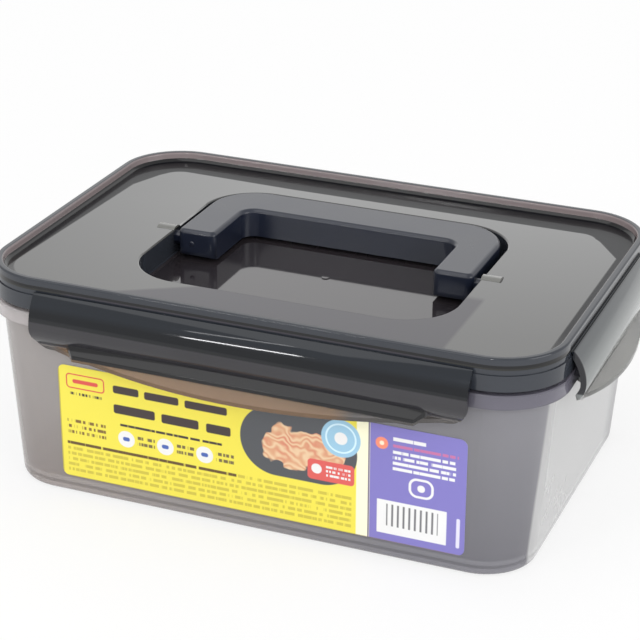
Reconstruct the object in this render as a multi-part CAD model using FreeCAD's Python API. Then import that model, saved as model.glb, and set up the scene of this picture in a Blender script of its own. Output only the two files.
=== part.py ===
import FreeCAD, Part
import math
import os

# Kitchen keeper for kimchi: a drafted see-through tub, a lid that four hinged latch flaps clip
# down, a seal in the lid and a carrying handle that folds into a well in the lid.
# Millimetres. The origin is the centre of the base, X runs along the long side, -Y is the front
# with the label, and +Z is up. "Inset" is measured inwards from the outer face of the lid's rim,
# and "reach" is measured outwards from it.

# Tub
BASE_LENGTH = 219.8
BASE_WIDTH = 152.4
TUB_CORNER_RADIUS = 21.8
BASE_EDGE_RADIUS = 3.0
TUB_HEIGHT = 84.4
TUB_WALL = 1.8
FLOOR_THICKNESS = 2.0
FOOT_HEIGHT = 1.3
FOOT_WIDTH = 3.4
INNER_FLOOR_BEVEL = 3.0
LIP_ABOVE_FLANGE = 4.8
FLANGE_HEIGHT = 5.6
FLANGE_REACH = 1.0
FLANGE_THICKNESS = 1.6
FLANGE_EDGE_BEVEL = 0.4

# Lid
LID_LENGTH = 236.0
LID_WIDTH = 163.0
LID_CORNER_RADIUS = 27.0
LID_WALL = 2.0
RIM_HEIGHT = 4.0
RIM_TOP_WIDTH = 3.0
RIM_FOOT_BEVEL = 1.2
RIM_EDGE_RADIUS = 0.9
RIM_INNER_BEVEL = 0.6
SKIRT_STEP = 0.5
SKIRT_GAP = 1.4
TUB_TO_SKIRT_CLEARANCE = 0.8
PLUG_CLEARANCE = 0.4
PLUG_THICKNESS = 1.6
PLUG_DEPTH = 11.0
SEAL_THICKNESS = 3.6
SEAL_SIDE_CLEARANCE = 0.1
SEAL_GROOVE_INSET = 1.1
SEAL_GROOVE_DEPTH = 0.8
SEAL_GROOVE_WIDTH = 1.0

# Well in the lid, and the handle that folds into it
WELL_LENGTH = 134.0
WELL_WIDTH = 106.0
WELL_CORNER_RADIUS = 23.0
WELL_DEPTH = 11.5
WELL_EDGE_BEVEL = 0.5
WELL_FLOOR_BEVEL = 1.2
GATE_MARK_RADIUS = 1.6
GATE_MARK_HEIGHT = 0.35
HANDLE_THICKNESS = 12.0
HANDLE_FLOOR_GAP = 1.5
HANDLE_SIDE_GAP = 2.8
HANDLE_BACK_GAP = 3.6
ARM_WIDTH = 16.8
ARM_END_REACH = 5.4
ARM_CORNER_RADIUS = 3.0
ARM_TOE_RADIUS = 3.0
GRIP_WIDTH = 21.5
GRIP_CORNER_RADIUS = 6.0
HANDLE_EDGE_BEVEL = 1.2
HANDLE_SHELL = 2.4
HANDLE_SOLID_END = 11.0
HANDLE_RIB_COUNT = 5
HANDLE_RIB_THICKNESS = 1.6
HANDLE_RIB_SETBACK = 1.2
PIN_RADIUS = 3.0
PIN_CLEARANCE = 0.08
PIN_ENGAGEMENT = 5.3
PIN_END_CLEARANCE = 0.5
PIN_BOSS_WALL = 1.92
PIN_BOSS_CAP = 2.0

# Latch flaps
HINGE_DROP = 5.45
HINGE_REACH = 0.8
HINGE_BEAD_RADIUS = 0.5
HINGE_LEDGE_DROP = 1.2
LATCH_END_INSET = 1.5
LATCH_WALL = 2.2
LATCH_BELLY_REACH = 6.5
LATCH_BELLY_RISE = 2.0
LATCH_CURL_RADIUS = 9.5
LATCH_CURL_ANGLE = 42.0
LATCH_CORNER_RADIUS = 8.0
LATCH_FOOT_DROP = 3.1
LATCH_TO_SKIRT_CLEARANCE = 0.3
FINGER_LIP_THICKNESS = 1.5
FINGER_LIP_SLOPE = 27.0
FINGER_LIP_END_INSET = 3.0
LONG_FINGER_LIP_REACH = 13.3
SHORT_FINGER_LIP_REACH = 10.8
GRIP_BAR_REACH = 8.4
GRIP_BAR_END_INSET = 19.5
GRIP_BAR_FACE = 1.6
GRIP_BAR_RISE = 3.4
GRIP_BAR_EDGE_RADIUS = 0.6
HOOK_CLEARANCE = 0.3
HOOK_UNDERCUT = 0.3
HOOK_NOSE_HEIGHT = 1.1
HOOK_END_INSET = 12.0

# Label on the front wall
LABEL_LENGTH = 170.4
LABEL_HEIGHT = 50.0
LABEL_SHIFT = 2.5
LABEL_ABOVE_BASE = 8.0
LABEL_THICKNESS = 0.2
LABEL_CORNER_RADIUS = 3.0

# Heights, from the table up
flange_top = TUB_HEIGHT - LIP_ABOVE_FLANGE
flange_bottom = flange_top - FLANGE_HEIGHT
inner_floor = FOOT_HEIGHT + FLOOR_THICKNESS
skirt_bottom = flange_top + SKIRT_GAP
panel_underside = TUB_HEIGHT + SEAL_THICKNESS
plug_bottom = panel_underside - PLUG_DEPTH
panel_top = panel_underside + LID_WALL
rim_top = panel_top + RIM_HEIGHT
well_floor = panel_top - WELL_DEPTH
handle_bottom = well_floor + HANDLE_FLOOR_GAP
pivot_height = handle_bottom + HANDLE_THICKNESS / 2
hinge_height = rim_top - HINGE_DROP
skirt_step_height = hinge_height - HINGE_LEDGE_DROP

# Insets of the tub's lip from the outer face of the rim
lip_outer_inset = LID_WALL + TUB_TO_SKIRT_CLEARANCE
lip_inner_inset = lip_outer_inset + TUB_WALL

# Lengths of the latch flaps, which stay on the straight runs of the rim
long_latch_length = LID_LENGTH - 2 * LID_CORNER_RADIUS - 2 * LATCH_END_INSET
short_latch_length = LID_WIDTH - 2 * LID_CORNER_RADIUS - 2 * LATCH_END_INSET

# Section of the latch flaps: the belly, the curl below it and the foot under the curl
belly_height = flange_bottom + LATCH_BELLY_RISE
curl_angle = math.radians(LATCH_CURL_ANGLE)
curl_centre_reach = LATCH_BELLY_REACH - LATCH_CURL_RADIUS
curl_inner_radius = LATCH_CURL_RADIUS - LATCH_WALL
curl_middle_radius = LATCH_CURL_RADIUS - LATCH_WALL / 2
curl_end_height = belly_height - curl_middle_radius * math.sin(curl_angle)
foot_outer_reach = curl_centre_reach + LATCH_CURL_RADIUS * math.cos(curl_angle)
foot_middle_reach = curl_centre_reach + curl_middle_radius * math.cos(curl_angle)
foot_inner_reach = curl_centre_reach + curl_inner_radius * math.cos(curl_angle)
foot_height = belly_height - curl_inner_radius * math.sin(curl_angle) - LATCH_FOOT_DROP
lip_slope = math.radians(FINGER_LIP_SLOPE)
lip_rise = FINGER_LIP_THICKNESS / math.cos(lip_slope)


def vec(x, y, z):
    return FreeCAD.Vector(x, y, z)


def rounded_wire(length, width, radius, z):
    """Closed outline of a rectangle with round corners, level at height z."""
    x = length / 2
    y = width / 2
    bend = radius * (1 - math.sqrt(0.5))
    corners = [
        (vec(x - radius, -y, z), vec(x - bend, -y + bend, z), vec(x, -y + radius, z)),
        (vec(x, y - radius, z), vec(x - bend, y - bend, z), vec(x - radius, y, z)),
        (vec(-x + radius, y, z), vec(-x + bend, y - bend, z), vec(-x, y - radius, z)),
        (vec(-x, -y + radius, z), vec(-x + bend, -y + bend, z), vec(-x + radius, -y, z)),
    ]
    edges = []
    last = corners[-1][2]
    for start, middle, end in corners:
        edges.append(Part.LineSegment(last, start).toShape())
        edges.append(Part.Arc(start, middle, end).toShape())
        last = end
    return Part.Wire(edges)


def rounded_prism(length, width, radius, bottom, top):
    face = Part.Face(rounded_wire(length, width, radius, bottom))
    return face.extrude(vec(0, 0, top - bottom))


def drafted_block(lower, upper, bottom, top):
    """Block between two round-cornered outlines of one corner radius.

    It is what four prisms have in common. Each is twice as long and wide, and leans out to the
    corner that it brings.
    """
    length, width, radius = lower
    lean_x = (upper[0] - length) / 2
    lean_y = (upper[1] - width) / 2
    outline = Part.Face(rounded_wire(2 * length, 2 * width, radius, bottom))
    block = None
    for side_x, side_y in ((1, 1), (-1, 1), (-1, -1), (1, -1)):
        prism = outline.extrude(vec(side_x * lean_x, side_y * lean_y, top - bottom))
        prism.translate(vec(-side_x * length / 2, -side_y * width / 2, 0))
        block = block.common(prism) if block else prism
    return block.removeSplitter()


def lid_outline(inset):
    """Length, width and corner radius of the rim's outline, moved inwards by an inset."""
    return LID_LENGTH - 2 * inset, LID_WIDTH - 2 * inset, LID_CORNER_RADIUS - inset


def lid_prism(inset, bottom, top):
    return rounded_prism(*lid_outline(inset), bottom, top)


def polygon_face(points):
    return Part.Face(Part.makePolygon(points + [points[0]]))


def edges_at_height(shape, height):
    """Edges that lie level at one height."""
    found = []
    for edge in shape.Edges:
        box = edge.BoundBox
        if abs(box.ZMin - height) < 0.01 and abs(box.ZMax - height) < 0.01:
            found.append(edge)
    return found


def tub_outline(height, inset=0.0):
    """Outline of the tub's drafted wall at a height: it widens evenly up to the lip."""
    share = height / flange_top
    top_length, top_width = lid_outline(lip_outer_inset)[:2]
    length = BASE_LENGTH + (top_length - BASE_LENGTH) * share
    width = BASE_WIDTH + (top_width - BASE_WIDTH) * share
    return length - 2 * inset, width - 2 * inset, TUB_CORNER_RADIUS - inset


def plug_outline(inset):
    """Outline of the lid's plug, which clears the tub's wall at the plug's lower end."""
    length, width = tub_outline(plug_bottom, TUB_WALL + PLUG_CLEARANCE + inset)[:2]
    return length, width, LID_CORNER_RADIUS - lip_inner_inset - PLUG_CLEARANCE - inset


def container_body():
    """Tub: drafted walls on a foot ring, an upright lip, and a flange that turns down below it."""
    outside = drafted_block(tub_outline(0), tub_outline(flange_top), 0, flange_top)
    outside = outside.makeFillet(BASE_EDGE_RADIUS, edges_at_height(outside, 0))
    inside = drafted_block(
        tub_outline(inner_floor, TUB_WALL), tub_outline(flange_top, TUB_WALL), inner_floor, flange_top
    )
    inside = inside.makeChamfer(INNER_FLOOR_BEVEL, edges_at_height(inside, inner_floor))
    tub = outside.cut(inside)

    foot_inset = BASE_EDGE_RADIUS + FOOT_WIDTH
    tub = tub.cut(rounded_prism(*tub_outline(0, foot_inset), 0, FOOT_HEIGHT))

    flange = lid_prism(-FLANGE_REACH, flange_bottom, flange_top)
    flange = flange.makeChamfer(FLANGE_EDGE_BEVEL, edges_at_height(flange, flange_top))
    hollow = lid_prism(FLANGE_THICKNESS - FLANGE_REACH, flange_bottom, flange_top - FLANGE_THICKNESS)
    space = drafted_block(
        tub_outline(flange_bottom, TUB_WALL / 2), tub_outline(flange_top, TUB_WALL / 2),
        flange_bottom, flange_top
    )
    flange = flange.cut(hollow).cut(space)
    lip_bottom = flange_top - FLANGE_THICKNESS
    lip = lid_prism(lip_outer_inset, lip_bottom, TUB_HEIGHT)
    lip = lip.cut(lid_prism(lip_inner_inset, lip_bottom, TUB_HEIGHT))
    return tub.fuse([flange, lip]).removeSplitter()


def pin_boss(side):
    """Round housing of one handle pin, beside the well and under the panel."""
    start = vec(side * WELL_LENGTH / 2, 0, pivot_height)
    length = PIN_ENGAGEMENT + PIN_END_CLEARANCE + PIN_BOSS_CAP
    radius = PIN_RADIUS + PIN_CLEARANCE + PIN_BOSS_WALL
    return Part.makeCylinder(radius, length, start, vec(side, 0, 0))


def pin_bore(side):
    """Blind bore of one handle pin, open to the well."""
    start = vec(side * (WELL_LENGTH / 2 - HANDLE_SIDE_GAP), 0, pivot_height)
    length = HANDLE_SIDE_GAP + PIN_ENGAGEMENT + PIN_END_CLEARANCE
    return Part.makeCylinder(PIN_RADIUS + PIN_CLEARANCE, length, start, vec(side, 0, 0))


def lid():
    """Lid in one moulding: raised rim, skirt, panel, handle well, pin bosses and inner plug."""
    block = lid_prism(0, skirt_step_height, rim_top)
    block = block.makeFillet(RIM_EDGE_RADIUS, edges_at_height(block, rim_top))
    block = block.fuse(lid_prism(-SKIRT_STEP, skirt_bottom, skirt_step_height))

    recess = lid_prism(RIM_TOP_WIDTH, panel_top, rim_top)
    recess = recess.makeChamfer(RIM_FOOT_BEVEL, edges_at_height(recess, panel_top))
    block = block.cut(recess)
    block = block.makeChamfer(RIM_INNER_BEVEL, inner_rim_edges(block))
    block = block.cut(lid_prism(LID_WALL, skirt_bottom, panel_underside))

    plug = rounded_prism(*plug_outline(0), plug_bottom, panel_underside)
    plug = plug.cut(rounded_prism(*plug_outline(PLUG_THICKNESS), plug_bottom, panel_underside))
    block = block.fuse(plug)

    outer = (WELL_LENGTH + 2 * LID_WALL, WELL_WIDTH + 2 * LID_WALL, WELL_CORNER_RADIUS + LID_WALL)
    cup = rounded_prism(*outer, well_floor - LID_WALL, panel_top)
    cup = cup.makeChamfer(WELL_FLOOR_BEVEL, edges_at_height(cup, well_floor - LID_WALL))
    pocket = rounded_prism(WELL_LENGTH, WELL_WIDTH, WELL_CORNER_RADIUS, well_floor, rim_top)
    pocket = pocket.makeChamfer(WELL_FLOOR_BEVEL, edges_at_height(pocket, well_floor))
    block = block.fuse(cup).cut(pocket)
    block = block.makeChamfer(WELL_EDGE_BEVEL, well_edges(block))

    for side in (-1, 1):
        block = block.fuse(pin_boss(side)).cut(pin_bore(side))
    mark = Part.makeCylinder(GATE_MARK_RADIUS, GATE_MARK_HEIGHT, vec(0, 0, well_floor))
    return block.fuse(mark).removeSplitter()


def edges_within(shape, height, length, width):
    """Edges level at one height that lie within a rectangle about the centre."""
    found = []
    for edge in edges_at_height(shape, height):
        middle = edge.CenterOfMass
        if abs(middle.x) < length / 2 + 0.1 and abs(middle.y) < width / 2 + 0.1:
            found.append(edge)
    return found


def inner_rim_edges(shape):
    """Inner edge of the rim's top face."""
    length, width = lid_outline(RIM_TOP_WIDTH)[:2]
    return edges_within(shape, rim_top, length, width)


def well_edges(shape):
    """Edge where the panel runs into the well."""
    return edges_within(shape, panel_top, WELL_LENGTH, WELL_WIDTH)


def seal_ring():
    """Seal in the lid's channel, between skirt and plug, resting on the tub's lip."""
    outer = LID_WALL + SEAL_SIDE_CLEARANCE
    ring = lid_prism(outer, TUB_HEIGHT, panel_underside)
    ring = ring.cut(rounded_prism(*plug_outline(-SEAL_SIDE_CLEARANCE), TUB_HEIGHT, panel_underside))
    groove_outer = outer + SEAL_GROOVE_INSET
    groove_inner = groove_outer + SEAL_GROOVE_WIDTH
    groove_bottom = panel_underside - SEAL_GROOVE_DEPTH
    groove = lid_prism(groove_outer, groove_bottom, panel_underside)
    groove = groove.cut(lid_prism(groove_inner, groove_bottom, panel_underside))
    return ring.cut(groove)


def handle_outline(z):
    """Plan of the U-shaped handle, folded back: two arms and the grip."""
    outer_x = WELL_LENGTH / 2 - HANDLE_SIDE_GAP
    inner_x = outer_x - ARM_WIDTH
    back_y = WELL_WIDTH / 2 - HANDLE_BACK_GAP
    inner_y = back_y - GRIP_WIDTH
    end_y = -ARM_END_REACH
    arm_bend = ARM_CORNER_RADIUS * (1 - math.sqrt(0.5))
    outer_radius = WELL_CORNER_RADIUS - HANDLE_SIDE_GAP
    outer_bend = outer_radius * (1 - math.sqrt(0.5))
    inner_bend = GRIP_CORNER_RADIUS * (1 - math.sqrt(0.5))

    def line(x1, y1, x2, y2):
        return Part.LineSegment(vec(x1, y1, z), vec(x2, y2, z)).toShape()

    def outer_arc(side):
        start = vec(side * outer_x, back_y - outer_radius, z)
        middle = vec(side * (outer_x - outer_bend), back_y - outer_bend, z)
        end = vec(side * (outer_x - outer_radius), back_y, z)
        return Part.Arc(start, middle, end).toShape()

    def inner_arc(side):
        start = vec(side * inner_x, inner_y - GRIP_CORNER_RADIUS, z)
        middle = vec(side * (inner_x - inner_bend), inner_y - inner_bend, z)
        end = vec(side * (inner_x - GRIP_CORNER_RADIUS), inner_y, z)
        return Part.Arc(start, middle, end).toShape()

    def arm_arc(side, x, inwards):
        start = vec(side * x, end_y + ARM_CORNER_RADIUS, z)
        middle = vec(side * (x - inwards * arm_bend), end_y + arm_bend, z)
        end = vec(side * (x - inwards * ARM_CORNER_RADIUS), end_y, z)
        return Part.Arc(start, middle, end).toShape()

    arm_start = end_y + ARM_CORNER_RADIUS
    edges = [
        outer_arc(1),
        line(outer_x - outer_radius, back_y, outer_radius - outer_x, back_y),
        outer_arc(-1),
        inner_arc(-1),
        line(GRIP_CORNER_RADIUS - inner_x, inner_y, inner_x - GRIP_CORNER_RADIUS, inner_y),
        inner_arc(1),
    ]
    for side in (-1, 1):
        end_from = side * (inner_x + ARM_CORNER_RADIUS)
        end_to = side * (outer_x - ARM_CORNER_RADIUS)
        edges += [
            line(side * outer_x, back_y - outer_radius, side * outer_x, arm_start),
            arm_arc(side, outer_x, 1),
            line(end_from, end_y, end_to, end_y),
            arm_arc(side, inner_x, -1),
            line(side * inner_x, arm_start, side * inner_x, inner_y - GRIP_CORNER_RADIUS),
        ]
    return Part.Wire(Part.__sortEdges__(edges))


def handle_side_view():
    """Side view of the handle, with a toe that rounds the arms' ends off above the well's floor."""
    side = -WELL_LENGTH / 2
    front = -ARM_END_REACH
    back = WELL_WIDTH / 2
    top = handle_bottom + HANDLE_THICKNESS
    bottom = handle_bottom
    bend = ARM_TOE_RADIUS * (1 - math.sqrt(0.5))
    toe_start = vec(side, front, bottom + ARM_TOE_RADIUS)
    toe_middle = vec(side, front + bend, bottom + bend)
    toe_end = vec(side, front + ARM_TOE_RADIUS, bottom)
    edges = [
        Part.LineSegment(vec(side, front, top), toe_start).toShape(),
        Part.Arc(toe_start, toe_middle, toe_end).toShape(),
        Part.LineSegment(toe_end, vec(side, back, bottom)).toShape(),
        Part.LineSegment(vec(side, back, bottom), vec(side, back, top)).toShape(),
        Part.LineSegment(vec(side, back, top), vec(side, front, top)).toShape(),
    ]
    return Part.Face(Part.Wire(edges)).extrude(vec(WELL_LENGTH, 0, 0))


def handle_pockets():
    """Cored-out underside of the handle: one pocket per arm, and the grip's bays between ribs."""
    outer_x = WELL_LENGTH / 2 - HANDLE_SIDE_GAP - HANDLE_SHELL
    inner_x = WELL_LENGTH / 2 - HANDLE_SIDE_GAP - ARM_WIDTH + HANDLE_SHELL
    back_y = WELL_WIDTH / 2 - HANDLE_BACK_GAP - HANDLE_SHELL
    front_y = WELL_WIDTH / 2 - HANDLE_BACK_GAP - GRIP_WIDTH + HANDLE_SHELL
    depth = HANDLE_THICKNESS - HANDLE_SHELL
    pockets = []
    for side in (-1, 1):
        left = min(side * outer_x, side * inner_x)
        length = front_y - HANDLE_SHELL - HANDLE_SOLID_END
        corner = vec(left, HANDLE_SOLID_END, handle_bottom)
        pockets.append(Part.makeBox(outer_x - inner_x, length, depth, corner))

    bay_count = HANDLE_RIB_COUNT + 1
    span = 2 * (outer_x - (WELL_CORNER_RADIUS - HANDLE_SIDE_GAP) / 2)
    bay = (span - HANDLE_RIB_COUNT * HANDLE_RIB_THICKNESS) / bay_count
    for index in range(bay_count):
        left = -span / 2 + index * (bay + HANDLE_RIB_THICKNESS)
        corner = vec(left, front_y, handle_bottom)
        pockets.append(Part.makeBox(bay, back_y - front_y, depth, corner))
    corner = vec(-span / 2, front_y, handle_bottom)
    pockets.append(Part.makeBox(span, back_y - front_y, HANDLE_RIB_SETBACK, corner))
    return pockets


def carry_handle():
    """Handle: a U with two pins, folded back into the well."""
    plan = Part.Face(handle_outline(handle_bottom)).extrude(vec(0, 0, HANDLE_THICKNESS))
    handle = plan.common(handle_side_view())
    handle = handle.makeChamfer(
        HANDLE_EDGE_BEVEL, edges_at_height(handle, handle_bottom + HANDLE_THICKNESS)
    )
    for pocket in handle_pockets():
        handle = handle.cut(pocket)
    for side in (-1, 1):
        start = vec(side * (WELL_LENGTH / 2 - HANDLE_SIDE_GAP - ARM_WIDTH / 2), 0, pivot_height)
        length = ARM_WIDTH / 2 + HANDLE_SIDE_GAP + PIN_ENGAGEMENT
        handle = handle.fuse(Part.makeCylinder(PIN_RADIUS, length, start, vec(side, 0, 0)))
    return handle.removeSplitter()


def on_circle(centre_reach, centre_height, radius, angle):
    """Point of a circle in a flap's section, at an angle upwards from straight out."""
    reach = centre_reach + radius * math.cos(angle)
    return vec(0, -reach, centre_height + radius * math.sin(angle))


def lip_underside(reach):
    """Height of the finger lip's underside at a reach."""
    return foot_height - math.tan(lip_slope) * (reach - foot_inner_reach)


def curl_middle_reach(height):
    """Reach of the middle of the wall at a height where it curls in."""
    return curl_centre_reach + math.sqrt(curl_middle_radius ** 2 - (belly_height - height) ** 2)


def latch_wall_face():
    """Section of a latch flap's wall: hinge bead, convex belly, and a curl in below the flange."""
    span = LATCH_BELLY_REACH - HINGE_REACH
    drop = hinge_height - belly_height
    radius = (span ** 2 + drop ** 2 - HINGE_BEAD_RADIUS ** 2) / (2 * (span - HINGE_BEAD_RADIUS))
    inner_radius = radius - LATCH_WALL
    centre_reach = LATCH_BELLY_REACH - radius
    inner_face = SKIRT_STEP + LATCH_TO_SKIRT_CLEARANCE

    def belly(arc_radius, angle):
        return on_circle(centre_reach, belly_height, arc_radius, angle)

    def bead(angle):
        return on_circle(HINGE_REACH, hinge_height, HINGE_BEAD_RADIUS, angle)

    def curl(arc_radius, angle):
        return on_circle(curl_centre_reach, belly_height, arc_radius, angle)

    top_angle = math.atan2(drop, HINGE_REACH - centre_reach)
    inner_angle = math.acos((inner_face - centre_reach) / inner_radius)
    bead_angle = math.acos((inner_face - HINGE_REACH) / HINGE_BEAD_RADIUS)
    foot_inner = vec(0, -foot_inner_reach, foot_height)
    foot_outer = vec(0, -foot_outer_reach, lip_underside(foot_outer_reach))
    outer_end = curl(LATCH_CURL_RADIUS, -curl_angle)
    inner_end = curl(curl_inner_radius, -curl_angle)

    edges = [
        Part.Arc(belly(radius, top_angle), belly(radius, top_angle / 2), belly(radius, 0)),
        Part.Arc(belly(radius, 0), curl(LATCH_CURL_RADIUS, -curl_angle / 2), outer_end),
        Part.LineSegment(outer_end, foot_outer),
        Part.LineSegment(foot_outer, foot_inner),
        Part.LineSegment(foot_inner, inner_end),
        Part.Arc(inner_end, curl(curl_inner_radius, -curl_angle / 2), curl(curl_inner_radius, 0)),
        Part.Arc(
            belly(inner_radius, 0), belly(inner_radius, inner_angle / 2), belly(inner_radius, inner_angle)
        ),
        Part.LineSegment(belly(inner_radius, inner_angle), bead(-bead_angle)),
        Part.Arc(bead(-bead_angle), bead(math.pi - (bead_angle - top_angle) / 2), bead(top_angle)),
    ]
    return Part.Face(Part.Wire([edge.toShape() for edge in edges]))


def latch_flap(length, lip_reach, with_grip_bar):
    """One latch flap on the front side of a rim whose outer face is the plane y = 0."""
    half = length / 2
    wall = latch_wall_face().extrude(vec(length, 0, 0))
    wall.translate(vec(-half, 0, 0))

    top = rim_top
    bottom = lip_underside(foot_outer_reach)
    radius = LATCH_CORNER_RADIUS
    bend = radius * (1 - math.sqrt(0.5))
    outline = [
        Part.LineSegment(vec(-half, 0, top), vec(-half, 0, bottom + radius)),
        Part.Arc(
            vec(-half, 0, bottom + radius), vec(-half + bend, 0, bottom + bend),
            vec(-half + radius, 0, bottom)
        ),
        Part.LineSegment(vec(-half + radius, 0, bottom), vec(half - radius, 0, bottom)),
        Part.Arc(
            vec(half - radius, 0, bottom), vec(half - bend, 0, bottom + bend),
            vec(half, 0, bottom + radius)
        ),
        Part.LineSegment(vec(half, 0, bottom + radius), vec(half, 0, top)),
        Part.LineSegment(vec(half, 0, top), vec(-half, 0, top)),
    ]
    front_view = Part.Face(Part.Wire([edge.toShape() for edge in outline]))
    wall = wall.common(front_view.extrude(vec(0, -2 * LATCH_BELLY_REACH, 0)))

    flap = wall.fuse(finger_lip(half, lip_reach))
    if with_grip_bar:
        flap = flap.fuse(grip_bar(half))
    return flap.fuse(latch_hook(half)).removeSplitter()


def finger_lip(half, lip_reach):
    """Thin sloping lip under the flap, with a bowed outer edge."""
    root = foot_inner_reach
    far = 2 * lip_reach
    strip = polygon_face([
        vec(-half, -root, lip_underside(root)), vec(-half, -far, lip_underside(far)),
        vec(-half, -far, lip_underside(far) + lip_rise), vec(-half, -root, lip_underside(root) + lip_rise),
    ]).extrude(vec(2 * half, 0, 0))
    end = half - FINGER_LIP_END_INSET
    bow = Part.Arc(vec(-end, -root, 0), vec(0, -lip_reach, 0), vec(end, -root, 0)).toShape()
    chord = Part.LineSegment(vec(end, -root, 0), vec(-end, -root, 0)).toShape()
    lens = Part.Face(Part.Wire([bow, chord])).extrude(vec(0, 0, rim_top))
    return strip.common(lens)


def grip_bar(half):
    """Raised bar on the finger lip of a long flap, with ends that run off at 45 degrees."""
    root = foot_middle_reach
    face_bottom = lip_underside(GRIP_BAR_REACH) + lip_rise / 2
    face_top = lip_underside(GRIP_BAR_REACH) + lip_rise + GRIP_BAR_FACE
    crest = face_top + GRIP_BAR_RISE
    bar = polygon_face([
        vec(-half, -root, lip_underside(root) + lip_rise / 2), vec(-half, -GRIP_BAR_REACH, face_bottom),
        vec(-half, -GRIP_BAR_REACH, face_top), vec(-half, -curl_middle_reach(crest), crest),
        vec(-half, -root, curl_end_height),
    ]).extrude(vec(2 * half, 0, 0))
    bar = bar.makeFillet(GRIP_BAR_EDGE_RADIUS, edges_along(bar, -GRIP_BAR_REACH, face_top))
    end = half - GRIP_BAR_END_INSET
    plan = polygon_face([
        vec(-end - GRIP_BAR_REACH, 0, 0), vec(-end, -GRIP_BAR_REACH, 0),
        vec(end, -GRIP_BAR_REACH, 0), vec(end + GRIP_BAR_REACH, 0, 0),
    ]).extrude(vec(0, 0, rim_top))
    return bar.common(plan)


def edges_along(shape, y, z):
    """Edges that run along X through a point of the section."""
    found = []
    for edge in shape.Edges:
        box = edge.BoundBox
        off = max(abs(box.YMin - y), abs(box.YMax - y), abs(box.ZMin - z), abs(box.ZMax - z))
        if off < 0.01:
            found.append(edge)
    return found


def latch_hook(half):
    """Rib inside the flap that catches under the tub's flange."""
    top = flange_bottom - HOOK_CLEARANCE
    nose = FLANGE_REACH - FLANGE_THICKNESS - HOOK_UNDERCUT
    end = half - HOOK_END_INSET
    section = polygon_face([
        vec(-end, -curl_middle_reach(top), top), vec(-end, -nose, top),
        vec(-end, -nose, top - HOOK_NOSE_HEIGHT), vec(-end, -foot_middle_reach, curl_end_height),
    ])
    return section.extrude(vec(2 * end, 0, 0))


def placed(shape, half_span, turns):
    """A flap moved from the plane y = 0 to its side of the lid, turned by quarter turns."""
    copy = shape.copy()
    copy.translate(vec(0, -half_span, 0))
    copy.rotate(vec(0, 0, 0), vec(0, 0, 1), 90 * turns)
    return copy


def front_label():
    """Thin film on the drafted front wall."""
    lower_width = tub_outline(0)[1]
    upper_width = tub_outline(flange_top)[1]
    draft = math.degrees(math.atan((upper_width - lower_width) / 2 / flange_top))
    film = rounded_prism(LABEL_LENGTH, LABEL_HEIGHT, LABEL_CORNER_RADIUS, 0, LABEL_THICKNESS)
    film.rotate(vec(0, 0, 0), vec(1, 0, 0), 90)
    film.translate(vec(LABEL_SHIFT, 0, LABEL_ABOVE_BASE + LABEL_HEIGHT / 2))
    film.rotate(vec(0, 0, 0), vec(1, 0, 0), draft)
    film.translate(vec(0, -lower_width / 2, 0))
    return film


def build():
    long_flap = latch_flap(long_latch_length, LONG_FINGER_LIP_REACH, True)
    short_flap = latch_flap(short_latch_length, SHORT_FINGER_LIP_REACH, False)
    return {
        "container_body": container_body(),
        "front_label": front_label(),
        "lid": lid(),
        "seal_ring": seal_ring(),
        "carry_handle": carry_handle(),
        "front_latch": placed(long_flap, LID_WIDTH / 2, 0),
        "right_latch": placed(short_flap, LID_LENGTH / 2, 1),
        "back_latch": placed(long_flap, LID_WIDTH / 2, 2),
        "left_latch": placed(short_flap, LID_LENGTH / 2, 3),
    }


os.makedirs("parts", exist_ok=True)
for node, shape in build().items():
    shape.exportStep("parts/" + node + ".step")
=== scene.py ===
import math

import bmesh
import bpy
from mathutils import Matrix, Quaternion, Vector


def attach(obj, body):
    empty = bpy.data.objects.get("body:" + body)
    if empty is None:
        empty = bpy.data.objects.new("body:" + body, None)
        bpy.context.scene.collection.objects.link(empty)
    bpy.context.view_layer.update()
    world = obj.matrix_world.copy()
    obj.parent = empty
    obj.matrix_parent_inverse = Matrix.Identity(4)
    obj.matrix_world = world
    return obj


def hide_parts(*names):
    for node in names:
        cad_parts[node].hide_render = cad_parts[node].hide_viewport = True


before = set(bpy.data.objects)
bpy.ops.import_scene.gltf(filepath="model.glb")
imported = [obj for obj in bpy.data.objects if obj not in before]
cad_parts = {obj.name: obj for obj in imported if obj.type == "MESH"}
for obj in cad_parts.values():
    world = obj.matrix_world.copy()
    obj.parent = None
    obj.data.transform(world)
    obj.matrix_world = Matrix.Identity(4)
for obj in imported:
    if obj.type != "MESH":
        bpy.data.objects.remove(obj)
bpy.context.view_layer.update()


# ---- Tub ----
# The tub is one thin-walled moulding of clear, faintly purple-grey polypropylene. Its walls are
# polished outside and slightly hazy, so that what is inside shows only as light and dark.

MM_PER_METRE = 1000.0


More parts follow.
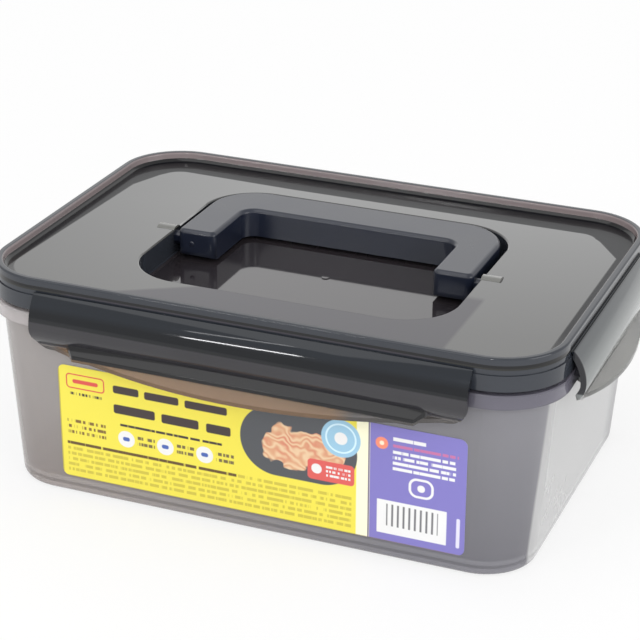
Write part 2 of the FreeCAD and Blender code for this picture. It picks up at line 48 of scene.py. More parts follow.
class Out:
    """A node's output. Sums on it add Math nodes to its finish."""

    def __init__(self, finish, socket):
        self.finish = finish
        self.socket = socket

    def math(self, operation, first, second=0.0, clamp=False):
        """A Math node in the same finish, on any two values."""
        settings = {"operation": operation, "use_clamp": clamp}
        return self.finish.node("ShaderNodeMath", settings, {0: first, 1: second})

    def __add__(self, other):
        return self.math("ADD", self, other)

    def __sub__(self, other):
        return self.math("SUBTRACT", self, other)

    def __rsub__(self, other):
        return self.math("SUBTRACT", other, self)

    def __mul__(self, other):
        return self.math("MULTIPLY", self, other)

    def __truediv__(self, other):
        return self.math("DIVIDE", self, other)

    def __rtruediv__(self, other):
        return self.math("DIVIDE", other, self)

    __radd__ = __add__
    __rmul__ = __mul__

    def size(self):
        """The value without its sign."""
        return self.math("ABSOLUTE", self)

    def above(self, limit, soft):
        """1 where the value is above the limit, 0 below it, with a soft step between."""
        return self.math("ADD", (self - limit) / soft, 0.5, clamp=True)

    def below(self, limit, soft):
        """1 where the value is below the limit, 0 above it, with a soft step between."""
        return self.math("ADD", (limit - self) / soft, 0.5, clamp=True)


class Finish:
    """A material made of nodes round one Principled shader."""

    def __init__(self, name):
        self.material = bpy.data.materials.new(name)
        self.material.use_nodes = True
        self.tree = self.material.node_tree
        self.tree.nodes.clear()
        self.output = self.tree.nodes.new("ShaderNodeOutputMaterial")
        self.place = None

    def node(self, kind, settings, inputs, output=0):
        """Adds a node with its settings first, then its values and links, and gives one output."""
        made = self.tree.nodes.new(kind)
        for key, value in settings.items():
            setattr(made, key, value)
        for key, value in inputs.items():
            if isinstance(value, Out):
                self.tree.links.new(value.socket, made.inputs[key])
            else:
                made.inputs[key].default_value = value
        return Out(self, made.outputs[output])

    def position(self):
        """The surface's place in the frame, in millimetres, as x, y and z."""
        if self.place is None:
            point = self.node("ShaderNodeTexCoord", {}, {}, "Object")
            scale = {"operation": "SCALE"}
            scaled = self.node("ShaderNodeVectorMath", scale, {0: point, "Scale": MM_PER_METRE})
            axes = [self.node("ShaderNodeSeparateXYZ", {}, {0: scaled}, axis) for axis in "XYZ"]
            self.place = (scaled, *axes)
        return self.place

    def noise(self, scale, detail=2.0, point=None):
        """Noise of a scale in features per millimetre, centred on a half."""
        inputs = {"Vector": point or self.position()[0], "Scale": scale, "Detail": detail}
        return self.node("ShaderNodeTexNoise", {}, inputs)

    def vector(self, operation, first, second=(0.0, 0.0, 0.0), output=0):
        """A Vector Math node on two vectors."""
        settings = {"operation": operation}
        return self.node("ShaderNodeVectorMath", settings, {0: first, 1: second}, output)

    def inset(self, outer, radius):
        """Distance inside a round-cornered outline, given by its half sizes, in millimetres."""
        flat = self.vector("MULTIPLY", self.position()[0], (1, 1, 0))
        core = (outer[0] - radius, outer[1] - radius, 0)
        past = self.vector("MAXIMUM", self.vector("SUBTRACT", self.vector("ABSOLUTE", flat), core))
        return radius - self.vector("LENGTH", past, output="Value")

    def ramp(self, value, start, end):
        """0 at the start, 1 at the end, even between."""
        inputs = {"Value": value, "From Min": start, "From Max": end}
        return self.node("ShaderNodeMapRange", {"clamp": True}, inputs)

    def mix(self, factor, first, second):
        """Colour between two colours, whose sockets on the Mix node are 6, 7 and 2."""
        inputs = {"Factor": factor, 6: first, 7: second}
        return self.node("ShaderNodeMix", {"data_type": "RGBA"}, inputs, 2)

    def bump(self, height, strength, distance):
        """A normal from a height, over a distance in metres."""
        inputs = {"Height": height, "Strength": strength, "Distance": distance}
        return self.node("ShaderNodeBump", {}, inputs)

    def shader(self, **inputs):
        """A Principled shader, whose sockets are named as base_color and ior are."""
        names = {key.replace("_", " ").title(): value for key, value in inputs.items()}
        sockets = {name.replace("Ior", "IOR"): value for name, value in names.items()}
        return self.node("ShaderNodeBsdfPrincipled", {}, sockets)

    def blended(self, share, first, second):
        """A shader between two shaders."""
        return self.node("ShaderNodeMixShader", {}, {0: share, 1: first, 2: second})

    def surface(self, shader):
        """Ends the material in a shader."""
        self.tree.links.new(shader.socket, self.output.inputs["Surface"])

    def wear(self, shader, *nodes):
        """Ends the material in a shader and puts it on CAD nodes."""
        self.surface(shader)
        for name in nodes:
            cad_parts[name].data.materials.clear()
            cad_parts[name].data.materials.append(self.material)


LOW_WALL = (60.0, 5.0)
FLANGE_FOOT = 73.5
SHADE_TO_RIGHT = (-95.0, 60.0)
END_WALL_START = 108.5
END_WALL_TOP = 73.0
END_WALL_FRONT = -63.0
END_WALL_BACK = 50.0

tub_finish = Finish("tub_plastic")
x, y, z = tub_finish.position()[1:]
haze = tub_finish.noise(0.02, 3.0)
low_wall_shade = tub_finish.ramp(z, *LOW_WALL)
in_flange = z.above(FLANGE_FOOT, 1.0)
# The tub's colour is painted light and shade: lighter to the left and on the left flange, darker to
# the right and on the right flange, and darker towards the foot.
tub_left_lit = tub_finish.mix(haze, (0.50, 0.465, 0.455, 1), (0.56, 0.525, 0.51, 1))
tub_left_lit = tub_finish.mix(low_wall_shade, tub_left_lit, (0.43, 0.385, 0.37, 1))
tub_left_lit = tub_finish.mix(in_flange, tub_left_lit, (0.66, 0.62, 0.62, 1))
tub_right_shaded = tub_finish.mix(haze, (0.34, 0.335, 0.37, 1), (0.38, 0.375, 0.40, 1))
tub_right_shaded = tub_finish.mix(low_wall_shade, tub_right_shaded, (0.27, 0.265, 0.295, 1))
tub_right_shaded = tub_finish.mix(in_flange, tub_right_shaded, (0.22, 0.21, 0.26, 1))
tub_colour = tub_finish.mix(tub_finish.ramp(x, *SHADE_TO_RIGHT), tub_left_lit, tub_right_shaded)

# The end walls are painted pale, painted light shining through them, paler towards the foot.
end_light_height = tub_finish.ramp(z, 65.0, 10.0)
end_wall_light = tub_finish.mix(end_light_height, (0.66, 0.66, 0.66, 1), (0.76, 0.76, 0.76, 1))
end_light_share = x.size().above(END_WALL_START, 1.0) * z.below(END_WALL_TOP, 1.0)
end_light_share = end_light_share * y.above(END_WALL_FRONT, 1.6) * y.below(END_WALL_BACK, 18.0)
tub_colour = tub_finish.mix(end_light_share, tub_colour, end_wall_light)
tub_skin = tub_finish.bump(tub_finish.noise(0.08, 2.0), 0.15, 0.0004)
tub_shader = tub_finish.shader(
    base_color=tub_colour, roughness=0.16, ior=1.49, transmission_weight=0.55, normal=tub_skin
)
tub_finish.wear(tub_shader, "container_body")


# ---- Lid ----
# The lid is one moulding of smoky grey polypropylene with a polished top, held on the tub by the
# four flaps. Its panel lets some of the pale inside through, but the strip in front of the well is
# painted shade, and the rim's thick ridge looks black, with its inner face painted pale as light.

RIM_HALF_LENGTH = 118.0
RIM_HALF_WIDTH = 81.5
RIM_CORNER = 27.0
RIM_BAND = 91.2
RIM_TOP_WIDTH = 2.6
RIM_INNER_EDGE = 4.4
BOSS_HALF_WIDTH = 6.0
BOSS_END = 90.0
BOSS_FOOT = 90.05
PANEL_TOP = 90.1
PANEL_SIDE = 89.4
WELL_FLOOR_TOP = 79.3
STRIP_END = 74.5
STRIP_BACK = -22.0
STRIP_SLOPE = 0.623
STRIP_CUT = -33.5

lid_finish = Finish("lid_plastic")
x, y, z = lid_finish.position()[1:]
inset = lid_finish.inset((RIM_HALF_LENGTH, RIM_HALF_WIDTH), RIM_CORNER)
cloud = lid_finish.noise(0.010, 2.0)
on_top = z.above(PANEL_SIDE, 0.3)
in_well = z.below(WELL_FLOOR_TOP, 0.4)
boss = y.size().below(BOSS_HALF_WIDTH, 0.5) * x.size().below(BOSS_END, 1.0)
boss_top_highlight = z.above(BOSS_FOOT, 0.1) * boss
rim_band = z.above(RIM_BAND, 0.3) * (1.0 - boss)
rim_foot_shade = z.above(PANEL_TOP, 0.1) * z.below(RIM_BAND, 0.3) * (1.0 - boss)

# The strip in front of the well is painted shade, duller and more purple. A broad dark band along
# the panel's back and left edges is a painted reflection of the rim, with a duller finish. The
# band's width is in millimetres.
front_shade_strip = x.below(STRIP_END, 1.5) * y.below(STRIP_BACK, 4.0)
front_shade_strip = front_shade_strip * (y - x * STRIP_SLOPE).below(STRIP_CUT, 2.5)
left_side = x.below(-70.0, 60.0)
band_width = left_side * lid_finish.ramp(y, -60.0, 40.0) * 4.0 + 7.0
band_width = band_width + lid_finish.ramp(y, 40.0, 58.0) * (12.5 - left_side * 6.0)
band = (band_width - inset).above(0.0, 0.6) * lid_finish.ramp(y, -90.0, -40.0)

to_back = lid_finish.ramp(y, -RIM_HALF_WIDTH, RIM_HALF_WIDTH)
panel = lid_finish.mix(to_back, (0.022, 0.022, 0.018, 1), (0.018, 0.020, 0.020, 1))
panel = lid_finish.mix(cloud * 0.6, panel, (0.018, 0.017, 0.016, 1))
panel = lid_finish.mix(band, panel, (0.004, 0.005, 0.007, 1))
panel = lid_finish.mix(front_shade_strip, panel, (0.030, 0.027, 0.036, 1))
well = lid_finish.mix(cloud, (0.032, 0.026, 0.029, 1), (0.022, 0.020, 0.023, 1))
skirt = lid_finish.mix(cloud, (0.022, 0.026, 0.034, 1), (0.036, 0.040, 0.049, 1))
# The rim's inner face is painted pale pink, painted light shining through the ridge.
rim_inside_light = lid_finish.mix(cloud, (0.270, 0.215, 0.215, 1), (0.220, 0.195, 0.200, 1))
rim = lid_finish.mix(inset.above(RIM_TOP_WIDTH, 0.5), skirt, rim_inside_light)
lid_colour = lid_finish.mix(on_top, lid_finish.mix(in_well, skirt, well), panel)
lid_colour = lid_finish.mix(rim_band, lid_colour, rim)
# The pin bosses' low tops are painted pale, a painted highlight.
lid_colour = lid_finish.mix(boss_top_highlight, lid_colour, (0.150, 0.150, 0.140, 1))
# The rim's foot is painted near-black, painted shade in the crease.
lid_colour = lid_finish.mix(rim_foot_shade, lid_colour, (0.002, 0.002, 0.003, 1))

# The polish is set by place, weaker towards the front and the left, in the front strip and in the
# band, which paints the panel's reflection darker there.
polish = on_top * (1.0 - front_shade_strip * 0.75) * inset.above(RIM_INNER_EDGE, 0.4)
polish = polish * (lid_finish.ramp(y - x * 0.25, -75.0, 50.0) * 0.3 + 0.7)
polish = polish * (lid_finish.ramp(x, -115.0, -50.0) * 0.35 + 0.65)
polish = polish * (1.0 - band * 0.8) + in_well * 0.45
lid_skin = lid_finish.bump(lid_finish.noise(0.03, 1.0), 0.05, 0.0004)
polished = lid_finish.shader(
    base_color=lid_colour, roughness=lid_finish.noise(0.6, 3.0) * 0.04 + 0.035, ior=1.5,
    coat_weight=polish, coat_roughness=0.03, normal=lid_skin,
)
dull = lid_finish.shader(
    base_color=lid_colour, roughness=0.3, ior=1.5, specular_ior_level=0.1, normal=lid_skin
)
dull_share = band * on_top * z.below(PANEL_TOP, 0.1) * 0.75
lid_finish.surface(lid_finish.blended(dull_share, polished, dull))


def new_piece(name, shape, material, metres=0.001):
    """An object at the frame's origin from a bmesh, in millimetres unless told otherwise."""
    bmesh.ops.scale(shape, vec=(metres, metres, metres), verts=shape.verts)
    mesh = bpy.data.meshes.new(name)
    shape.to_mesh(mesh)
    shape.free()
    thing = bpy.data.objects.new(name, mesh)
    bpy.context.scene.collection.objects.link(thing)
    mesh.materials.append(material)
    return thing


MERGE_REACH = 0.000002
SLIVER_SIZE = 0.000001
FLAT_ANGLE = math.radians(0.5)
CREASE_ANGLE = math.radians(40)
LEVEL_SHARE = 0.9995


def rounded_copy(node, body, finish, reach, steep, chosen):
    """A CAD node's twin with its chosen sharp edges rounded, as the moulding has them."""
    shape = bmesh.new()
    shape.from_mesh(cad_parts[node].data)
    bmesh.ops.remove_doubles(shape, verts=shape.verts, dist=MERGE_REACH)
    bmesh.ops.dissolve_limit(
        shape, angle_limit=FLAT_ANGLE, verts=shape.verts, edges=shape.edges, delimit={"NORMAL"}
    )
    sharp = [
        edge for edge in shape.edges
        if len(edge.link_faces) == 2 and edge.calc_face_angle() > math.radians(steep)
        and all(chosen(vert.co * MM_PER_METRE) for vert in edge.verts)
    ]
    bmesh.ops.bevel(
        shape, geom=sharp, offset=reach, offset_type="OFFSET", segments=3, profile=0.5,
        affect="EDGES", material=-1, clamp_overlap=True,
    )
    bmesh.ops.dissolve_degenerate(shape, dist=SLIVER_SIZE, edges=shape.edges)
    piece = new_piece(node + "_rounded", shape, finish.material, 1.0)
    piece.data.set_sharp_from_angle(angle=CREASE_ANGLE)
    for face in piece.data.polygons:
        face.use_smooth = max(abs(share) for share in face.normal) < LEVEL_SHARE
    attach(piece, body)
    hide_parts(node)


LID_ROUNDING = 0.0004
LID_STEEP = 35
LID_ROUNDED_FROM = 88.9
BOSS_CLEAR_Y = 9
BOSS_CLEAR_X = 60


def in_lid_top(place):
    """Whether an edge's end is in the lid's top, but not on a pin boss."""
    off_boss = abs(place.y) > BOSS_CLEAR_Y or abs(place.x) < BOSS_CLEAR_X
    return place.z > LID_ROUNDED_FROM and off_boss


rounded_copy("lid", "container", lid_finish, LID_ROUNDING, LID_STEEP, in_lid_top)


# ---- Latch flaps ----
# Each flap is moulded with the lid, of the same smoky plastic, and bends on a thin web. The wall is
# thick enough to look black, and the thin finger lip lets light through.

LIP_SLOPE = 0.51
LIP_TOP = 70.94
BEAD_ZONE = 83.6
BELLY_FOOT = 78.6
BAR_TOP = 70.95
BAR_ROOT = 4.95
END_FLAP_START = 119.0
END_FLAP_HALF = 60.0
END_FACE = 52.3
LONG_SIDE = 80.0
LABEL_MIDDLE = -17.0
LABEL_LIP_HALF = 60.0
FLAP_ROUNDING = 0.00035
FLAP_STEEP = 40

flap_finish = Finish("flap_plastic")
x, y, z = flap_finish.position()[1:]
flap_cloud = flap_finish.noise(0.03, 2.0)
reach = x.math("MAXIMUM", x.size() - RIM_HALF_LENGTH, y.size() - RIM_HALF_WIDTH)
over_lip = z + reach * LIP_SLOPE - LIP_TOP
end_flap = x.size().above(END_FLAP_START, 1.0) * y.size().below(END_FLAP_HALF, 2.0)

# The wall's colour is painted by height as light and shade: darkest under the bead zone, a little
# lighter above it, and lighter in the lower band, painted light that comes through from the tub.
upper = flap_finish.mix(
    z.above(BEAD_ZONE, 2.5), (0.002, 0.003, 0.005, 1), (0.008, 0.011, 0.016, 1)
)
lower = flap_finish.mix(flap_cloud, (0.024, 0.023, 0.027, 1), (0.034, 0.033, 0.037, 1))
flap_colour = flap_finish.mix(z.below(BELLY_FOOT, 0.5), upper, lower)
# The grip bar is painted near-black, painted shade.
grip_bar_shade = z.below(BAR_TOP, 0.2) * reach.above(BAR_ROOT, 0.2) * y.size().above(LONG_SIDE, 1.0)
flap_colour = flap_finish.mix(grip_bar_shade, flap_colour, (0.004, 0.004, 0.005, 1))
# The end flaps are painted pale, painted light that shines through them, paler at the belly than
# near the top; their end faces keep a dark colour.
end_light_height = flap_finish.ramp(z, 86.5, 79.0)
end_flap_lit = flap_finish.mix(end_light_height, (0.100, 0.106, 0.110, 1), (0.175, 0.187, 0.184, 1))
end_face = y.size().above(END_FACE, 0.3)
end_flap_lit = flap_finish.mix(end_face, end_flap_lit, (0.014, 0.015, 0.018, 1))
flap_colour = flap_finish.mix(end_flap, flap_colour, end_flap_lit)
flap_skin = flap_finish.bump(flap_finish.noise(0.06, 2.0), 0.08, 0.0003)
thick_wall = flap_finish.shader(
    base_color=flap_colour, roughness=flap_finish.noise(0.4, 3.0) * 0.05 + 0.04, ior=1.5,
    normal=flap_skin,
)

# The lip in front of the label is painted warm, a painted light for the label's yellow that
# shines through it.
lip_colour = flap_finish.mix(flap_cloud, (0.34, 0.315, 0.305, 1), (0.40, 0.370, 0.360, 1))
lip_label_light = flap_finish.mix(flap_cloud, (0.63, 0.410, 0.240, 1), (0.69, 0.465, 0.290, 1))
label_lip = (x - LABEL_MIDDLE).size().below(LABEL_LIP_HALF, 8.0) * y.below(-LONG_SIDE, 1.0)
lip_colour = flap_finish.mix(label_lip, lip_colour, lip_label_light)
# The end flaps' lips are painted pale too, the same painted light.
lip_colour = flap_finish.mix(end_flap, lip_colour, (0.52, 0.52, 0.50, 1))
thin_lip = flap_finish.shader(
    base_color=lip_colour, roughness=0.12, ior=1.5, transmission_weight=0.85, normal=flap_skin
)
flap_finish.surface(flap_finish.blended(over_lip.below(0.25, 0.2), thick_wall, thin_lip))

for side in ("front", "back", "left", "right"):
    rounded_copy(
        side + "_latch", side + "_flap", flap_finish, FLAP_ROUNDING, FLAP_STEEP, lambda place: True
    )


# ---- Bending webs ----
# Each flap hangs on a thin strip of plastic, moulded in one with rim and flap. It is bent by hand
# thousands of times, and ends in the flap's bead, on whose axis the flap turns.

BEAD_HEIGHT = 88.55
BEAD_REACH = 0.8
WEB_THICKNESS = 0.4
WEB_ROOT = 0.3
WEB_END_INSET = 0.6
LONG_FLAP_HALF = 89.5
SHORT_FLAP_HALF = 53.0

for flap_name, quarter, rim_reach, flap_half in (
    ("front", 0, RIM_HALF_WIDTH, LONG_FLAP_HALF), ("right", 1, RIM_HALF_LENGTH, SHORT_FLAP_HALF),
    ("back", 2, RIM_HALF_WIDTH, LONG_FLAP_HALF), ("left", 3, RIM_HALF_LENGTH, SHORT_FLAP_HALF),
):
    web = bmesh.new()
    bmesh.ops.create_cube(web, size=1.0)
    web_size = (2 * (flap_half - WEB_END_INSET), WEB_ROOT + BEAD_REACH, WEB_THICKNESS)
    bmesh.ops.scale(web, vec=web_size, verts=web.verts)
    middle = rim_reach + (BEAD_REACH - WEB_ROOT) / 2
    bmesh.ops.translate(web, vec=(0, -middle, BEAD_HEIGHT), verts=web.verts)
    bmesh.ops.rotate(web, matrix=Matrix.Rotation(quarter * math.pi / 2, 3, "Z"), verts=web.verts)
    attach(new_piece(flap_name + "_web", web, flap_finish.material), "container")


# ---- Carrying handle ----
# The handle is one moulding of dark blue-grey plastic with a satin skin, cored out from below, and
# turns on two pins in the lid. Its upper edges are rounded for the fingers, and one arm's end
# keeps the nub of the moulding gate.

HANDLE_ROUNDING = 0.0005
HANDLE_STEEP = 35
HANDLE_ROUNDED_FROM = 90.5
NUB_PLACE = (-57.6, -5.4, 86.2)
NUB_RADIUS = 1.1
NUB_FLATNESS = 0.45

handle_finish = Finish("handle_plastic")
handle_wear = handle_finish.noise(0.05, 4.0)
handle_colour = handle_finish.mix(
    handle_wear, (0.007, 0.010, 0.020, 1), (0.014, 0.018, 0.034, 1)
)
handle_finish.surface(handle_finish.shader(
    base_color=handle_colour, roughness=handle_wear * 0.10 + 0.25, ior=1.5,
    coat_weight=0.3, coat_roughness=0.20,
    normal=handle_finish.bump(handle_finish.noise(1.5, 3.0), 0.12, 0.00008),
))
rounded_copy(
    "carry_handle", "handle", handle_finish, HANDLE_ROUNDING, HANDLE_STEEP,
    lambda place: place.z > HANDLE_ROUNDED_FROM,
)

nub = bmesh.new()
bmesh.ops.create_uvsphere(nub, u_segments=24, v_segments=12, radius=NUB_RADIUS)
bmesh.ops.scale(nub, vec=(1, NUB_FLATNESS, 1), verts=nub.verts)
bmesh.ops.translate(nub, vec=NUB_PLACE, verts=nub.verts)
for face in nub.faces:
    face.smooth = True
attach(new_piece("gate_nub", nub, handle_finish.material), "handle")


# ---- Seal ----
# The seal is a milky ring of soft rubber, moulded on its own and pressed into the lid's channel,
# where it lies on the tub's lip. It shows only through the plastic.

seal_finish = Finish("seal_rubber")
seal_shader = seal_finish.shader(base_color=(0.62, 0.62, 0.61, 1), roughness=0.5)
seal_finish.wear(seal_shader, "seal_ring")


# ---- Label ----
# The label is a thin printed film with a glossy face, stuck to the front wall: a yellow field with
# a plate of food, a cream strip and a purple field, with bars and dashes in place of all words
# and codes. Places on it are x and z, in millimetres.

YELLOW = (0.80, 0.70, 0.074, 1)
CREAM = (0.90, 0.88, 0.65, 1)
PURPLE = (0.205, 0.180, 0.50, 1)
WHITE = (0.78, 0.78, 0.78, 1)
INK = (0.045, 0.030, 0.030, 1)
RED = (0.66, 0.085, 0.065, 1)
EDGE_SOFTNESS = 0.35
CREAM_START = 43.9
PURPLE_START = 48.9
FILM_LEFT = -82.2
FILM_FOOT = 8.3
ROW_SHIFT = 7.3
STRIPE_PITCH = 1.15

label_finish = Finish("label_print")
x, y, z = label_finish.position()[1:]


def away(middle, half, corner):
    """Distance outside a round-cornered box on the label, in millimetres."""
    off_x = (x - middle[0]).size() - (half[0] - corner)
    off_z = (z - middle[1]).size() - (half[1] - corner)
    past = label_finish.node("ShaderNodeCombineXYZ", {}, {0: off_x, 1: off_z, 2: 0.0})
    past = label_finish.vector("MAXIMUM", past)
    return label_finish.vector("LENGTH", past, output="Value") - corner


def box(middle, half, corner=0.2):
    """1 inside a round-cornered box on the label, 0 outside it."""
    return away(middle, half, corner).below(0.0, EDGE_SOFTNESS)


def dashes(left, right, top, bottom, rows, fill, scale):
    """Rows of short uneven dashes, as fine print looks from afar."""
    line = (z - bottom) / ((top - bottom) / rows)
    row = z.math("FLOOR", line)
    middle = line - row - 0.5
    inputs = {0: x * scale, 1: row * ROW_SHIFT, 2: 0.0}
    broken = label_finish.noise(1.0, 1.0, label_finish.node("ShaderNodeCombineXYZ", {}, inputs))
    field = box(((left + right) / 2, (top + bottom) / 2), ((right - left) / 2, (top - bottom) / 2))
    return broken.above(1 - fill, 0.08) * middle.size().below(0.27, 0.12) * field


paint = label_finish.mix(x.above(CREAM_START, EDGE_SOFTNESS), YELLOW, CREAM)

# A dark plate with a heap of red and pale strips on it.
plate_shade = away((20.0, 42.0), (24.2, 15.0), 14.9)
paint = label_finish.mix(plate_shade.below(0.0, EDGE_SOFTNESS), paint, (0.075, 0.080, 0.090, 1))
ripple = label_finish.noise(0.16, 1.0) * 9.0
heap = (away((22.0, 40.5), (17.0, 9.5), 9.4) + ripple - 4.5).below(-1.0, 0.6)
strand = z.math("SINE", (z + x * 0.3) * 1.7 + ripple * 3.0)
folded = label_finish.noise(0.12, 1.0).above(0.5, 0.3)
fold = label_finish.mix(folded, (0.62, 0.21, 0.13, 1), (0.66, 0.35, 0.20, 1))
food = label_finish.mix(strand * 0.5 + 0.5, fold, (0.76, 0.54, 0.34, 1))
paint = label_finish.mix(heap, paint, food)

# A round badge with a light ring and a white middle, and a red tab below it.
badge = away((37.5, 48.6), (8.0, 8.0), 7.9)
paint = label_finish.mix(badge.below(0.0, EDGE_SOFTNESS), paint, (0.31, 0.54, 0.71, 1))
paint = label_finish.mix((badge + 2.0).size().below(0.35, 0.3), paint, (0.62, 0.82, 0.92, 1))
paint = label_finish.mix(box((37.5, 48.6), (2.6, 2.6), 2.5), paint, WHITE)

tab = box((33.5, 33.2), (9.6, 4.4), 1.6)
paint = label_finish.mix(tab, paint, (0.67, 0.105, 0.095, 1))
paint = label_finish.mix(box((27.6, 33.6), (2.1, 2.1), 2.0), paint, WHITE)
paint = label_finish.mix(dashes(31.5, 41.5, 36.0, 30.6, 3, 0.55, 0.9), paint, WHITE)

# Two rows of dark bars where the name stands, an outlined red sign, and lines of small print.
for middle, half in (
    ((-53.0, 51.2), (5.6, 1.7)), ((-37.6, 50.9), (7.4, 1.7)), ((-18.6, 50.6), (9.0, 1.7)),
    ((-49.6, 42.6), (9.0, 2.0)), ((-29.8, 42.3), (8.0, 2.0)), ((-13.4, 42.0), (5.2, 2.0)),
):
    paint = label_finish.mix(box(middle, half, 0.9), paint, INK)

sign = away((-70.8, 51.4), (8.2, 3.0), 1.4)
paint = label_finish.mix(sign.size().below(0.28, 0.3), paint, RED)
paint = label_finish.mix(box((-70.8, 51.4), (5.6, 0.9), 0.8), paint, RED)
paint = label_finish.mix(dashes(-78.0, -63.5, 47.0, 44.8, 1, 0.5, 0.8), paint, INK)
paint = label_finish.mix(dashes(-56.0, -12.0, 36.8, 34.8, 1, 0.6, 0.6), paint, INK)

# Three white discs with a blue dot, each with two lines of print.
for disc_x in (-53.5, -36.5, -19.5):
    paint = label_finish.mix(box((disc_x, 29.8), (3.6, 3.6), 3.5), paint, WHITE)
    paint = label_finish.mix(box((disc_x, 29.8), (1.5, 0.9), 0.8), paint, (0.06, 0.12, 0.42, 1))
    side_print = dashes(disc_x + 5.0, disc_x + 12.5, 32.6, 27.4, 2, 0.55, 0.9)
    paint = label_finish.mix(side_print, paint, (0.16, 0.12, 0.05, 1))

side_note = dashes(-79.5, -62.5, 34.8, 27.2, 3, 0.5, 0.9)
paint = label_finish.mix(side_note, paint, (0.20, 0.12, 0.03, 1))
fine_print = dashes(-80.0, 42.0, 24.6, 10.0, 6, 0.55, 0.55) * 0.45
paint = label_finish.mix(fine_print, paint, (0.28, 0.20, 0.03, 1))
first_line = dashes(-80.0, -6.0, 24.6, 22.2, 1, 0.62, 0.55)
paint = label_finish.mix(first_line, paint, (0.12, 0.07, 0.02, 1))

# The purple field, with an orange disc, lines of print, a round mark and an evenly striped box.
purple = box((70.0, 33.0), (20.7, 30.0))
paint = label_finish.mix(purple, paint, PURPLE)
paint = label_finish.mix(box((54.0, 50.2), (2.5, 2.5), 2.4), paint, (0.86, 0.26, 0.16, 1))
paint = label_finish.mix(box((54.0, 50.2), (0.9, 0.9), 0.8), paint, (0.95, 0.75, 0.55, 1))
paint = label_finish.mix(dashes(58.5, 71.5, 54.2, 51.4, 1, 0.66, 0.7), paint, WHITE)
paint = label_finish.mix(dashes(58.5, 84.5, 51.0, 48.8, 1, 0.6, 0.7), paint, (0.52, 0.16, 0.34, 1))
paint = label_finish.mix(dashes(58.5, 83.5, 48.4, 39.0, 4, 0.62, 0.7), paint, WHITE)
mark = away((70.0, 33.6), (5.0, 4.2), 3.4)
paint = label_finish.mix((mark + 0.5).size().below(0.5, 0.3), paint, WHITE)
paint = label_finish.mix(box((70.0, 33.6), (1.5, 1.5), 1.4), paint, WHITE)
paint = label_finish.mix(box((66.4, 18.6), (14.0, 7.3), 0.3), paint, WHITE)
stripe = x.math("PINGPONG", x, STRIPE_PITCH).above(0.75, 0.35) * box((66.6, 19.6), (10.4, 4.8))
paint = label_finish.mix(stripe, paint, (0.16, 0.16, 0.17, 1))
paint = label_finish.mix(box((85.0, 17.5), (0.7, 6.4), 0.6), paint, (0.70, 0.68, 0.84, 1))

# Thin dark lines at the film's left and lower edges and beside the purple field are painted shadow
# along their edges.
film_edge_shadow = x.below(FILM_LEFT, 0.3) + z.below(FILM_FOOT, 0.2)
paint = label_finish.mix(film_edge_shadow * 0.6, paint, (0.20, 0.14, 0.05, 1))
purple_edge_shadow = (x - PURPLE_START).size().below(0.3, 0.3)
paint = label_finish.mix(purple_edge_shadow, paint, (0.16, 0.13, 0.22, 1))

# The film's back carries no print.
facing = label_finish.node("ShaderNodeTexCoord", {}, {}, "Normal")
facing_back = label_finish.node("ShaderNodeSeparateXYZ", {}, {0: facing}, "Y").above(0.0, 0.2)
paint = label_finish.mix(facing_back, paint, (0.80, 0.80, 0.78, 1))

label_skin = label_finish.bump(label_finish.noise(0.05, 2.0), 0.10, 0.0003)
label_shader = label_finish.shader(base_color=paint, roughness=0.22, ior=1.5, normal=label_skin)
label_finish.wear(label_shader, "front_label")


# ---- Studio ----
# The object stands on a plain pale floor under soft light from all round. Small bright windows give
# the gloss its glints, and the camera is the photograph's, solved from the rim, base and label.

FLOOR_HALF = 4.0
FLOOR_GLOW = 0.75
WORLD_LIGHT = 0.75
LAMP_AIM = Vector((0, 0, 0.08))

floor_mesh = bpy.data.meshes.new("floor")
floor = bpy.data.objects.new("floor", floor_mesh)
bpy.context.scene.collection.objects.link(floor)
shape = bmesh.new()
bmesh.ops.create_grid(shape, x_segments=1, y_segments=1, size=FLOOR_HALF)
shape.to_mesh(floor_mesh)
shape.free()

floor_finish = Finish("pale_floor")
seen, mirrored, through = (
    floor_finish.node("ShaderNodeLightPath", {}, {}, ray)
    for ray in ("Is Camera Ray", "Is Glossy Ray", "Is Transmission Ray")
)
diffuse = floor_finish.node("ShaderNodeBsdfDiffuse", {}, {"Color": (0.9, 0.9, 0.9, 1)})
white = floor_finish.node("ShaderNodeEmission", {}, {"Color": (1, 1, 1, 1), "Strength": 1.0})
glow_share = (seen + mirrored + through) * FLOOR_GLOW
floor_finish.surface(floor_finish.blended(glow_share, diffuse, white))
floor_mesh.materials.append(floor_finish.material)

world = bpy.data.worlds.new("studio")
bpy.context.scene.world = world
world.use_nodes = True
tree = world.node_tree
tree.nodes.clear()
world_out = tree.nodes.new("ShaderNodeOutputWorld")
background = tree.nodes.new("ShaderNodeBackground")
background.inputs["Color"].default_value = (1, 1, 1, 1)
background.inputs["Strength"].default_value = WORLD_LIGHT
camera_seen = tree.nodes.new("ShaderNodeLightPath")
plain = tree.nodes.new("ShaderNodeBackground")
plain.inputs["Color"].default_value = (1, 1, 1, 1)
plain.inputs["Strength"].default_value = 1.0
both = tree.nodes.new("ShaderNodeMixShader")
tree.links.new(camera_seen.outputs["Is Camera Ray"], both.inputs[0])
tree.links.new(background.outputs[0], both.inputs[1])
tree.links.new(plain.outputs[0], both.inputs[2])
tree.links.new(both.outputs[0], world_out.inputs["Surface"])


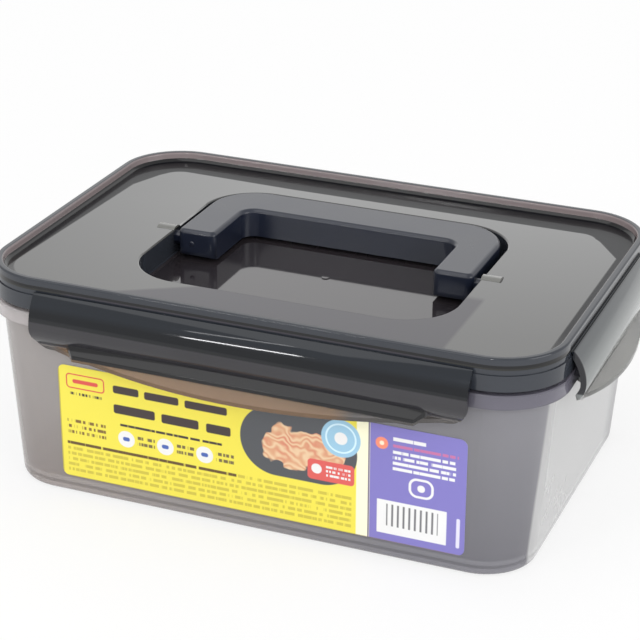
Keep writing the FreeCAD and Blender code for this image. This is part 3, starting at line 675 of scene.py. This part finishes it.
def lamp(name, place, size, radiance, turn=0.0, mirrored=True):
    """A rectangular light aimed at the lid and turned by degrees, which gloss mirrors or not."""
    data = bpy.data.lights.new(name, "AREA")
    data.shape = "RECTANGLE"
    data.size, data.size_y = size
    data.energy = radiance * math.pi * size[0] * size[1]
    thing = bpy.data.objects.new(name, data)
    thing.location = place
    aim = (LAMP_AIM - Vector(place)).to_track_quat("-Z", "Y")
    thing.rotation_euler = (aim @ Quaternion((0, 0, 1), math.radians(turn))).to_euler()
    thing.visible_glossy = mirrored
    bpy.context.scene.collection.objects.link(thing)


lamp("back_softbox", (-0.40, 1.00, 0.62), (1.8, 0.9), 0.45)
lamp("right_softbox", (1.1, -0.15, 0.5), (0.7, 0.7), 2.0)
lamp("side_softbox", (0.85, -1.35, 0.70), (2.0, 1.5), 1.3, mirrored=False)
lamp("top_softbox", (-0.35, -0.45, 1.15), (0.9, 0.9), 0.9)
lamp("corner_window", (0.19, -1.31, 0.92), (0.10, 0.10), 45.0)
lamp("window", (-0.55, -1.375, 0.62), (0.36, 0.035), 36.0, 28.0)
lamp("upper_window", (-0.555, -1.14, 0.99), (0.36, 0.03), 7.0, 50.0)

CAMERA_PLACE = Vector((0.291049, -0.750719, 0.414173))
CAMERA_AZIMUTH = math.radians(21.333)
CAMERA_ELEVATION = math.radians(23.771)
CAMERA_ROLL = math.radians(0.873)
CAMERA_LENS = 119.75
CAMERA_SENSOR = 36.0

back = Vector((
    math.sin(CAMERA_AZIMUTH) * math.cos(CAMERA_ELEVATION),
    -math.cos(CAMERA_AZIMUTH) * math.cos(CAMERA_ELEVATION),
    math.sin(CAMERA_ELEVATION),
))
level_right = Vector((math.cos(CAMERA_AZIMUTH), math.sin(CAMERA_AZIMUTH), 0))
level_up = back.cross(level_right)
right = math.cos(CAMERA_ROLL) * level_right + math.sin(CAMERA_ROLL) * level_up
up = math.cos(CAMERA_ROLL) * level_up - math.sin(CAMERA_ROLL) * level_right
camera_data = bpy.data.cameras.new("camera")
camera_data.lens = CAMERA_LENS
camera_data.sensor_width = CAMERA_SENSOR
camera_data.sensor_fit = "HORIZONTAL"
camera = bpy.data.objects.new("camera", camera_data)
camera.matrix_world = Matrix((
    (right.x, up.x, back.x, CAMERA_PLACE.x),
    (right.y, up.y, back.y, CAMERA_PLACE.y),
    (right.z, up.z, back.z, CAMERA_PLACE.z),
    (0, 0, 0, 1),
))
bpy.context.scene.collection.objects.link(camera)
bpy.context.scene.camera = camera

bpy.context.scene.view_settings.view_transform = "Standard"
